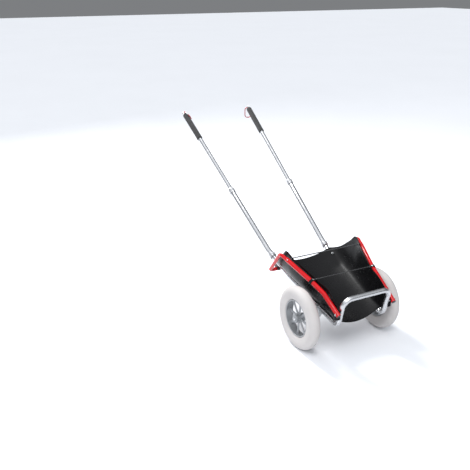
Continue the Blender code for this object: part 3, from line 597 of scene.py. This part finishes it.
def make_rail_fittings():
    for side, sign in SIDES:
        out = Vector((sign, 0, 0))
        end = place(RAIL_FRONT, sign)
        spot = end + (place(RAIL_BEND, sign) - end).normalized() * 0.013
        bolt("rail_screw_" + side, spot + out * (RAIL_R + GAP), out, RAIL_TO_LEG + RAIL_R, 0.0055, BOLT_R,
             "rail_bolt_" + side)
        rear = place(RAIL_REAR, sign)
        run = (rear - place(RAIL_TAB, sign)).normalized()
        spot = rear - run * 0.013
        up = (Vector((0, 0, 1)) - run * run.z).normalized()
        outward = (up + out * 0.9).normalized()
        outward = (outward - run * outward.dot(run)).normalized()
        button("yoke_pin_" + side, "yoke_button_" + side, spot, outward, RAIL_R, YOKE_R - YOKE_WALL)


# ---- bed --------------------------------------------------------------------------------------
def sheet_point(u, v, chassis, rail):
    """Point of the sheet's middle surface: u from 0 (middle) to 1 (top edge), v from front to rear."""
    bend = FLOOR_SHARE
    wall = max(0.0, (u - bend) / (1 - bend))
    front = FLOOR_RUN[0] + (WALL_RUN[0] - FLOOR_RUN[0]) * math.sin(min(1.0, wall * FRONT_EDGE) * math.pi / 2)
    rear = FLOOR_RUN[1] + (WALL_RUN[1] - FLOOR_RUN[1]) * (1 - math.cos(wall * math.pi / 2)) ** 0.75
    rear -= CORNER_CUT * max(0.0, (u - 0.85) / 0.15) ** 2
    y = AXLE_Y + front + (rear - front) * v
    tube_x, tube_z = follow(chassis, y)
    seat_z = tube_z + SHEET_LIFT
    if u <= bend:
        x = tube_x * u / bend
        sag = FLOOR_SAG[0] + (FLOOR_SAG[1] - FLOOR_SAG[0]) * v
        return Vector((x, y, seat_z - sag * (1 - (u / bend) ** 2)))
    rail_x, rail_z = follow(rail, min(y, AXLE_Y + CORNER_FROM))
    lead = min(1.0, max(0.0, (AXLE_Y - 0.10 - y) / 0.05))
    crest = max(0.0, 1 - ((y - AXLE_Y - RISE_AT) / RISE_REACH) ** 2)
    start = Vector((tube_x, seat_z))
    ear = max(0.0, 1 - ((y - AXLE_Y - EAR_AT) / EAR_REACH) ** 2)
    top_z = rail_z + 0.016 - 0.006 * lead + WALL_RISE * crest + EAR_RISE * ear
    end = Vector((rail_x - 0.018 + 0.0051 * lead, top_z))
    rise = end.y - start.y
    knee = Vector((start.x + 0.62 * (end.x - start.x) + 0.005, start.y + 0.10 * rise))
    shoulder = Vector((end.x - 0.10 * (end.x - start.x), start.y + 0.50 * rise))
    s = 1 - wall
    flat = start * s ** 3 + knee * (3 * s * s * wall) + shoulder * (3 * s * wall * wall) + end * wall ** 3
    if y < AXLE_Y - 0.146:
        flat.x = max(flat.x, HOOP_TOP[0] + FRAME_R + SHEET / 2 + 2 * GAP)
    return Vector((flat.x, y, flat.y))


def make_sheet():
    chassis = [p for p in chassis_path() if p.x > 0 and p.z < place(POLE_FOOT).z + 0.03]
    chassis = [p for p in chassis if p.y > place(HOOP_FOOT).y + 0.012]
    rail = rail_path(1.0)
    data = bmesh.new()
    bmesh.ops.create_grid(data, x_segments=88, y_segments=56, size=1.0)
    for vert in data.verts:
        side = -1.0 if vert.co.x < 0 else 1.0
        spot = sheet_point(abs(vert.co.x), (vert.co.y + 1) / 2, chassis, rail)
        vert.co = (side * spot.x, spot.y, spot.z)
    for _ in range(4):
        inner = [v for v in data.verts if not v.is_boundary]
        bmesh.ops.smooth_vert(data, verts=inner, factor=0.35,
                              use_axis_x=True, use_axis_y=False, use_axis_z=True)
    area = sum(f.calc_area() for f in data.faces)
    item = new_object("bed_panel", finish_mesh("bed_panel", data))
    shell = item.modifiers.new("thickness", "SOLIDIFY")
    shell.thickness = SHEET
    shell.offset = 0.0
    edge = item.modifiers.new("edge", "BEVEL")
    edge.width = 0.0005
    edge.segments = 2
    edge.limit_method = "ANGLE"
    edge.angle_limit = math.radians(50)
    item = baked(item)
    holes = [rod_tool(name + "_hole", at(0, y, z), (1, 0, 0), radius + CORD_HOLE, -0.3, 0.3)
             for name, _, y, z, _, radius in CORDS]
    item = show(with_tools(item, holes), "bed_sheet", angle=30.0)
    return item, area


def make_saddles_and_bolts():
    for side, sign in SIDES:
        out = Vector((sign, 0, 0))
        middle = place(RAIL_TAB, sign)
        run = (place(RAIL_REAR, sign) - place(RAIL_BEND, sign)).normalized()
        loop = [(RAIL_R + GAP * 2, -STRAP_HALF), (RAIL_R + STRAP_WALL, -STRAP_HALF),
                (RAIL_R + STRAP_WALL, STRAP_HALF), (RAIL_R + GAP * 2, STRAP_HALF)]
        show(turned("rail_strap_" + side, loop, middle, run, 64, 0.0007), "bed_tab_" + side)
        lean = (Vector((0, 0, 1)) - out * 0.30).normalized()
        lean = (lean - run * lean.dot(run)).normalized()
        pan = [(0.0, 0.0023), (0.0018, 0.0022), (0.0034, 0.0014), (0.0042, 0.0),
               (0.0020, 0.0), (0.0020, -0.0075), (0.0, -0.0075)]
        seat = middle + lean * (RAIL_R + STRAP_WALL + GAP)
        show(turned("strap_screw_" + side, pan, seat, lean, 32, 0.0002), "tab_bolt_" + side)
        foot, bend = place(POLE_FOOT, sign), place(MEMBER_BEND, sign)
        axis = (foot - bend).normalized()
        spot = foot - axis * ((foot.y - at(0, 0.300, 0).y) / axis.y)
        up = (Vector((0, 0, 1)) - axis * axis.z).normalized()
        head_at = SHEET_LIFT + 0.0030
        nut_at = head_at + FRAME_R + GAP
        bolt("floor_bolt_" + side, spot + up * head_at, up, nut_at + 0.0075, 0.0060, BOLT_R,
             "bed_bolt_" + side, nut_at)
        dome = [(0.0, 0.0019), (0.0022, 0.0017), (0.0036, 0.0009), (0.0042, 0.0), (RIVET_R, 0.0),
                (RIVET_R, -0.0100), (0.0, -0.0100)]
        show(turned("wall_rivet_" + side, dome, place(RIVET, sign), out, 32, 0.0002), "bed_rivet_" + side)


def make_cord(name, node, y, z, half, radius):
    """Taut elastic cord from wall to wall, with a knot outside each wall."""
    ends = [at(-half, y, z), at(half, y, z)]
    path = [ends[0].lerp(ends[1], k / 24) for k in range(25)]
    line = curve_of(name, path, radius, True, 6)
    show(line, node)
    for side, sign in SIDES:
        spot = at(sign * half, y, z)
        out = Vector((sign, 0, 0))
        # Three turns of the knot, then its cut end.
        turns = [spot + out * (0.0018 + 0.0040 * t / 30)
                 + Vector((0, math.cos(t * 0.55), math.sin(t * 0.55))) * 0.0022 for t in range(31)]
        wound = baked(curve_of("%s_knot_%s" % (name, side), turns, 0.0015, True, 5))
        detail(wound, node, "cord")
        hole, brim = radius + 0.0002, radius + 0.0020
        ring = [(hole, -0.0006), (brim, -0.0006), (brim, 0.0006), (hole, 0.0006)]
        inner = spot - out * (SHEET + 0.0022)
        eyelet = turned("%s_eyelet_%s" % (name, side), ring, inner, out, 32, 0.0003)
        detail(eyelet, node, "steel")


# ---- wheels -----------------------------------------------------------------------------------
def tyre_outline():
    """Round-shouldered tyre with a bead at the rim and fine grooves round its tread."""
    half = TYRE_WIDTH / 2
    seat = RIM_R + GAP
    crown = WHEEL_R - half * 0.98
    outline = [(seat, -half * 0.62), (seat + 0.0022, -half * 0.78), (seat + 0.006, -half * 0.86)]
    steps = 56
    for step in range(steps + 1):
        angle = math.pi * (1 - step / steps)
        across = half * math.cos(angle)
        radius = crown + half * 0.98 * math.sin(angle)
        if step in (0, steps):
            radius = crown - 0.004
        for groove in TREAD_GROOVES:
            radius -= GROOVE_DEPTH * math.exp(-((across - groove) / GROOVE_REACH) ** 2)
        outline.append((radius, across))
    outline += [(seat + 0.006, half * 0.86), (seat + 0.0022, half * 0.78), (seat, half * 0.62)]
    return outline


def make_wheel(side, sign):
    centre = at(sign * WHEEL_X, 0, WHEEL_R)
    out = Vector((sign, 0, 0))
    show(turned("tyre_ring_" + side, tyre_outline(), centre, out, 144, 0.0), "tyre_" + side, angle=60.0)
    make_rim(side, centre, out)
    seat = HUB_WIDTH / 2 - BEARING_WIDTH
    inner = PIN_R + GAP
    ring = [(inner, 0.0), (BEARING_R, 0.0), (BEARING_R, BEARING_WIDTH), (BEARING_R - 0.0018, BEARING_WIDTH),
            (BEARING_R - 0.0022, BEARING_WIDTH - 0.0007), (inner + 0.0024, BEARING_WIDTH - 0.0007),
            (inner + 0.0020, BEARING_WIDTH), (inner, BEARING_WIDTH)]
    for label, way in (("outer", 1.0), ("inner", -1.0)):
        name = "%s_%s" % (label, side)
        race = turned("race_" + name, ring, centre + out * way * seat, out * way, 56, 0.0002)
        show(race, "bearing_" + name)
    face = HUB_WIDTH / 2
    shoulder = BEAM_HALF + GAP - WHEEL_X
    pin = [(0.0, -0.115), (PIN_R, -0.115), (PIN_R, shoulder), (0.0098, shoulder), (0.0098, -face - GAP),
           (PIN_R, -face - GAP), (PIN_R, face + GAP), (0.0088, face + GAP), (0.0088, face + 0.0060),
           (0.0062, face + 0.0072), (0.0046, face + 0.0072), (0.0040, face + 0.0060), (0.0, face + 0.0060)]
    show(turned("release_pin_" + side, pin, centre, out, 48, 0.0004), "axle_pin_" + side)
    cap = [(0.0112, face + GAP), (0.0190, face + GAP), (0.0187, face + 0.0030), (0.0170, face + 0.0050),
           (0.0130, face + 0.0060), (0.0112, face + 0.0056)]
    show(turned("hub_cover_" + side, cap, centre, out, 56, 0.0006), "hub_cap_" + side)


def spoke_mesh(name):
    """A spoke along +X: wider at the rim, with a rib down each face."""
    data = bmesh.new()
    rings = []
    root, tip = HUB_R - 0.0045, RIM_R - RIM_WALL * 0.55
    for k in range(13):
        t = k / 12
        x = root + (tip - root) * t
        flare = 0.0022 * (abs(2 * t - 1) ** 3)
        w, h = 0.0054 + 0.0014 * t + flare, 0.0036 - 0.0006 * t + 0.5 * flare
        shape = [(-w, -h * 0.45), (-w * 0.72, -h * 0.80), (-w * 0.36, -h * 0.86), (-w * 0.22, -h),
                 (w * 0.22, -h), (w * 0.36, -h * 0.86), (w * 0.72, -h * 0.80), (w, -h * 0.45)]
        loop = shape + [(a, -b) for a, b in reversed(shape)]
        rings.append([data.verts.new((x, a, b)) for a, b in loop])
    for here, there in zip(rings, rings[1:]):
        for m in range(len(here)):
            n = (m + 1) % len(here)
            data.faces.new((here[m], here[n], there[n], there[m]))
    data.faces.new(rings[0][::-1])
    data.faces.new(rings[-1])
    return finish_mesh(name, data)


def make_rim(side, centre, out):
    half, seat = RIM_WIDTH / 2, HUB_WIDTH / 2 - BEARING_WIDTH - GAP
    wall = RIM_R - RIM_WALL
    ring = [(RIM_R, -half * 0.80), (RIM_R, half * 0.80), (wall + 0.0040, half), (wall - 0.0002, half),
            (wall - 0.0004, half - 0.0035), (wall + 0.0012, half - 0.0075), (wall + 0.0012, -half + 0.0075),
            (wall - 0.0004, -half + 0.0035), (wall - 0.0002, -half), (wall + 0.0040, -half)]
    rim = turned("rim_ring_" + side, ring, centre, out, 128, 0.0009)
    matrix = Matrix.Translation(centre) @ along(out)
    flange = HUB_WIDTH / 2
    hub = [(0.0, -flange), (HUB_R, -flange), (HUB_R, -flange + 0.006), (HUB_R - 0.0025, -flange + 0.010),
           (HUB_R - 0.0025, flange - 0.010), (HUB_R, flange - 0.006), (HUB_R, flange), (0.0, flange)]
    tools = [turned("hub_core", hub, centre, out, 72, 0.0008)]
    for k in range(SPOKES):
        turn = Matrix.Rotation(SPOKE_PHASE + 2 * math.pi * k / SPOKES, 4, "Z")
        tools.append(new_object("spoke_%d" % k, spoke_mesh("spoke"), matrix @ turn))
    rim = with_tools(rim, tools, "UNION")
    holes = [rod_tool("bore", centre, out, PIN_R + 0.0015, -0.04, 0.04, 40)]
    for way in (1.0, -1.0):
        holes.append(rod_tool("pocket%d" % way, centre, out * way, BEARING_R + GAP, seat, 0.04, 56))
    show(with_tools(rim, holes), "rim_" + side, angle=32.0)


# ---- poles ------------------------------------------------------------------------------------
def make_pole(side, sign):
    foot, bend = place(POLE_FOOT, sign), place(POLE_BEND, sign)
    axis, base = pole_axis(sign), base_axis(sign)
    collar = on_pole(sign, COLLAR_Y)
    path = fillet_path([(foot, 0.0), (bend, POLE_BEND[3]), (collar, 0.0)], 1.0)
    show(tube("lower_tube_" + side, path, POLE_R, POLE_WALL), "pole_lower_" + side)
    inner = POLE_R + GAP
    ring = [(inner, 0.0), (COLLAR_R, 0.0), (COLLAR_R, 0.0040), (COLLAR_R - 0.0010, 0.0048),
            (COLLAR_R - 0.0010, 0.0062), (COLLAR_R, 0.0070), (COLLAR_R, BASE_COLLAR_LENGTH - 0.003),
            (COLLAR_R - 0.002, BASE_COLLAR_LENGTH), (inner, BASE_COLLAR_LENGTH)]
    show(turned("base_collar_" + side, ring, foot, base, 64, 0.0006), "pole_collar_" + side)
    up = (Vector((0, 0, 1)) - base * base.z).normalized()
    button("pole_pin_" + side, "pole_button_" + side, foot + base * 0.012, up, COLLAR_R, FRAME_R - FRAME_WALL)
    make_twist_collar(side, collar, axis)
    grip_foot = place(GRIP_FOOT, sign)
    top = grip_foot + axis * GRIP_LENGTH
    reach = [(collar - axis * UPPER_OVERLAP).lerp(top - axis * 0.0005, k / 24) for k in range(25)]
    show(tube("upper_tube_" + side, reach, UPPER_R, UPPER_WALL), "pole_upper_" + side)
    make_grip(side, grip_foot, axis)
    plug = UPPER_R - UPPER_WALL - 0.0006
    cap = [(0.0, -0.016), (plug, -0.016), (plug, GAP), (GRIP_R - 0.0022, GAP), (GRIP_R - 0.0022, 0.0020),
           (GRIP_R - 0.0040, 0.0040), (0.0070, 0.0050), (0.0, 0.0050)]
    show(turned("pole_cap_" + side, cap, top, axis, 56, 0.0006), "end_cap_" + side)
    return top, axis


def make_twist_collar(side, collar, axis):
    """Twist lock: a sleeve with flutes to turn it by."""
    step = TWIST_COLLAR_LENGTH * 0.62
    low, high = -step, TWIST_COLLAR_LENGTH - step
    sleeve = [(POLE_R + GAP, low), (COLLAR_R - 0.001, low), (COLLAR_R, low + 0.003), (COLLAR_R, 0.004),
              (UPPER_R + 0.0022, high), (UPPER_R + 0.0005, high), (UPPER_R + 0.0005, GAP * 2),
              (POLE_R + GAP, GAP * 2)]
    item = turned("lock_collar_" + side, sleeve, collar, axis, 72, 0.0006)
    matrix = Matrix.Translation(collar) @ along(axis)
    flutes = []
    for k in range(12):
        spin = matrix @ Matrix.Rotation(2 * math.pi * k / 12, 4, "Z")
        mesh = turned_mesh("flute", [(0.0, low + 0.0035), (0.0011, low + 0.0045), (0.0011, 0.0005),
                                     (0.0, 0.0015)], 12)
        flutes.append(new_object("flute_%d" % k, mesh, spin @ Matrix.Translation((COLLAR_R + 0.0003, 0, 0))))
    show(with_tools(item, flutes), "twist_collar_" + side, angle=35.0)


def make_grip(side, foot, axis):
    """Foam sleeve, softly rounded at both ends, with the slight unevenness of cut foam."""
    steps = 44
    outline = [(UPPER_R + GAP, 0.0006), (GRIP_R - 0.0028, 0.0)]
    for k in range(steps + 1):
        t = k / steps
        wave = 0.00012 * math.sin(t * 31.0) + 0.00010 * math.sin(t * 12.0 + 1.0)
        outline.append((GRIP_R - 0.0002 + wave, 0.0030 + (GRIP_LENGTH - 0.0060) * t))
    outline += [(GRIP_R - 0.0028, GRIP_LENGTH), (UPPER_R + GAP, GRIP_LENGTH - 0.0006)]
    item = turned("foam_grip_" + side, rounded(outline, 0.002), foot, axis, 72, 0.0)
    show(item, "grip_" + side, angle=60.0)


def make_eye(side, top, axis, hinge, hang, seat):
    centre = top + axis * (0.0050 + EYE_R + EYE_WIRE_R + 0.0015)
    turns = [math.tau * k / 20 for k in range(20)]
    wire = [(EYE_R + EYE_WIRE_R * math.cos(a), EYE_WIRE_R * math.sin(a)) for a in turns]
    ring = turned("eye_ring_" + side, wire, centre, hinge, 64, 0.0)
    shank = [(0.0, -0.012), (0.0025, -0.012), (0.0025, 0.0054), (0.0052, 0.0054), (0.0052, 0.0064),
             (0.0034, 0.0076), (0.0024, 0.0086), (0.0, 0.0086)]
    stem = turned("eye_stem", shank, top, axis, 40, 0.0003)
    show(with_tools(ring, [stem], "UNION"), "eye_bolt_" + side)
    pivot = centre + seat * (EYE_R - EYE_WIRE_R - WIRE_R - 3 * GAP)
    make_carabiner(side, pivot, hinge, hang)


def make_carabiner(side, pivot, across, down):
    """Snap link: a C of round wire with a nose and a gate that turns on a pin."""
    half, length = CARABINER_WIDTH / 2 - WIRE_R, CARABINER_LENGTH - 2 * WIRE_R
    corner = 0.015
    normal = across.cross(down).normalized()

    def spot(x, z):
        return pivot + across * x + down * z

    corners = [(spot(half, length * 0.74), 0.0), (spot(half, length), corner),
               (spot(-half, length), corner), (spot(-half, 0.0), corner),
               (spot(half, 0.0), corner), (spot(half, length * 0.28), 0.0)]
    link = tube("snap_link_" + side, fillet_path(corners), WIRE_R, 0.0, 0.0006, 8)
    show(link, "carabiner_" + side, angle=40.0)
    low, high = length * 0.74 - 0.0006, length * 0.28 + 0.0012
    gate_r = WIRE_R * 0.78
    body = [(0.0, 0.0), (gate_r, 0.0), (gate_r, low - high), (0.0, low - high)]
    gate = turned("gate_rod", body, spot(half, high), down, 32, 0.0004)
    pin = [(0.0, -WIRE_R - 0.0002), (0.0009, -WIRE_R - 0.0002),
           (0.0009, WIRE_R + 0.0002), (0.0, WIRE_R + 0.0002)]
    tools = [turned("gate_pin", pin, spot(half, high + 0.0020), normal, 20, 0.0002)]
    show(with_tools(gate, tools, "UNION"), "gate_" + side)


# ---- carried-over CAD nodes -------------------------------------------------------------------
def keep(node, width):
    """A CAD node that stays as it is, with its own finish and softened edges."""
    item = NODES[node]
    item.data.materials.clear()
    item.data.materials.append(PAINTS[SLOT_OF[node]])
    weld = item.modifiers.new("weld", "WELD")
    weld.merge_threshold = 0.00001
    edge = item.modifiers.new("edge", "BEVEL")
    edge.width = width
    edge.segments = 3
    edge.limit_method = "ANGLE"
    edge.angle_limit = math.radians(40)
    edge.use_clamp_overlap = True
    item.data.shade_smooth()
    smooth = item.modifiers.new("normals", "WEIGHTED_NORMAL")
    smooth.keep_sharp = True


# ---- studio -----------------------------------------------------------------------------------
def make_floor():
    data = bmesh.new()
    bmesh.ops.create_grid(data, x_segments=2, y_segments=2, size=30.0)
    floor = new_object("studio_floor", finish_mesh("studio_floor", data))
    paint = Paint("studio_paper", (0.86, 0.875, 0.91), 0.55)
    paint.mottled(0.6, 0.01).uneven(3.0, 0.05)
    floor.data.materials.append(paint.material)


def area_light(name, place_at, target, size, power):
    light = bpy.data.lights.new(name, "AREA")
    light.shape = "RECTANGLE"
    light.size, light.size_y = size
    light.energy = power
    aim(name, light, place_at, target)


def aim(name, light, place_at, target):
    item = bpy.data.objects.new(name, light)
    bpy.context.scene.collection.objects.link(item)
    item.location = place_at
    item.rotation_mode = "QUATERNION"
    item.rotation_quaternion = (Vector(place_at) - Vector(target)).to_track_quat("Z", "Y")


def sun(name, come_from, power, spread):
    light = bpy.data.lights.new(name, "SUN")
    light.energy = power
    light.angle = math.radians(spread)
    aim(name, light, come_from, (0, 0, 0))


def make_sky():
    """One soft dome, bright overhead and towards the front left, dim low down and behind."""
    world = bpy.data.worlds.new("studio")
    bpy.context.scene.world = world
    world.use_nodes = True
    nodes, links = world.node_tree.nodes, world.node_tree.links
    coords = nodes.new("ShaderNodeTexCoord")
    tilt = nodes.new("ShaderNodeVectorMath")
    tilt.operation = "DOT_PRODUCT"
    tilt.inputs[1].default_value = SKY_AIM
    links.new(coords.outputs["Generated"], tilt.inputs[0])
    ramp = nodes.new("ShaderNodeMapRange")
    ramp.interpolation_type = "SMOOTHSTEP"
    for name, value in zip(("From Min", "From Max", "To Min", "To Max"), SKY_RANGE):
        ramp.inputs[name].default_value = value
    links.new(tilt.outputs["Value"], ramp.inputs["Value"])
    background = nodes["Background"]
    background.inputs["Color"].default_value = (0.93, 0.96, 1.0, 1.0)
    links.new(ramp.outputs["Result"], background.inputs["Strength"])


def make_studio():
    make_floor()
    make_sky()
    bpy.context.scene.view_settings.view_transform = "Standard"
    sun("key", KEY_FROM, KEY_POWER, KEY_SPREAD)
    area_light("strip", STRIP_FROM, at(*STRIP_TO), STRIP_SIZE, STRIP_POWER)


def make_camera():
    camera = bpy.data.cameras.new("camera")
    camera.sensor_width = 36.0
    camera.lens = CAMERA_LENS
    item = bpy.data.objects.new("camera", camera)
    bpy.context.scene.collection.objects.link(item)
    item.location = at(*CAMERA_FROM_AXLE)
    a, e = CAMERA_AZIMUTH, CAMERA_ELEVATION
    back = Vector((math.sin(a) * math.cos(e), -math.cos(a) * math.cos(e), math.sin(e)))
    item.rotation_mode = "QUATERNION"
    item.rotation_quaternion = (-back).to_track_quat("-Z", "Y")
    bpy.context.scene.camera = item


def main():
    make_camera()
    for row in CORDS:
        make_cord(*row)
    make_tubes()
    make_axle()
    make_rail_fittings()
    panel, area = make_sheet()
    make_saddles_and_bolts()
    for side, sign in SIDES:
        make_wheel(side, sign)
        top, axis = make_pole(side, sign)
        if side == "left":
            hinge = Vector(LEFT_EYE)
            hinge = (hinge - axis * hinge.dot(axis)).normalized()
            seat = axis.cross(hinge)
            rest = (seat * math.sin(LYING_TILT) - axis * math.cos(LYING_TILT)).normalized()
        else:
            hinge = Vector(RIGHT_EYE).normalized()
            rest = seat = Vector((0, 0, -1))
        make_eye(side, top, axis, hinge, rest, seat)
        keep("axle_bracket_" + side, 0.0012)
        keep("yoke_saddle_" + side, 0.0010)
    make_studio()


main()
bpy.context.view_layer.update()
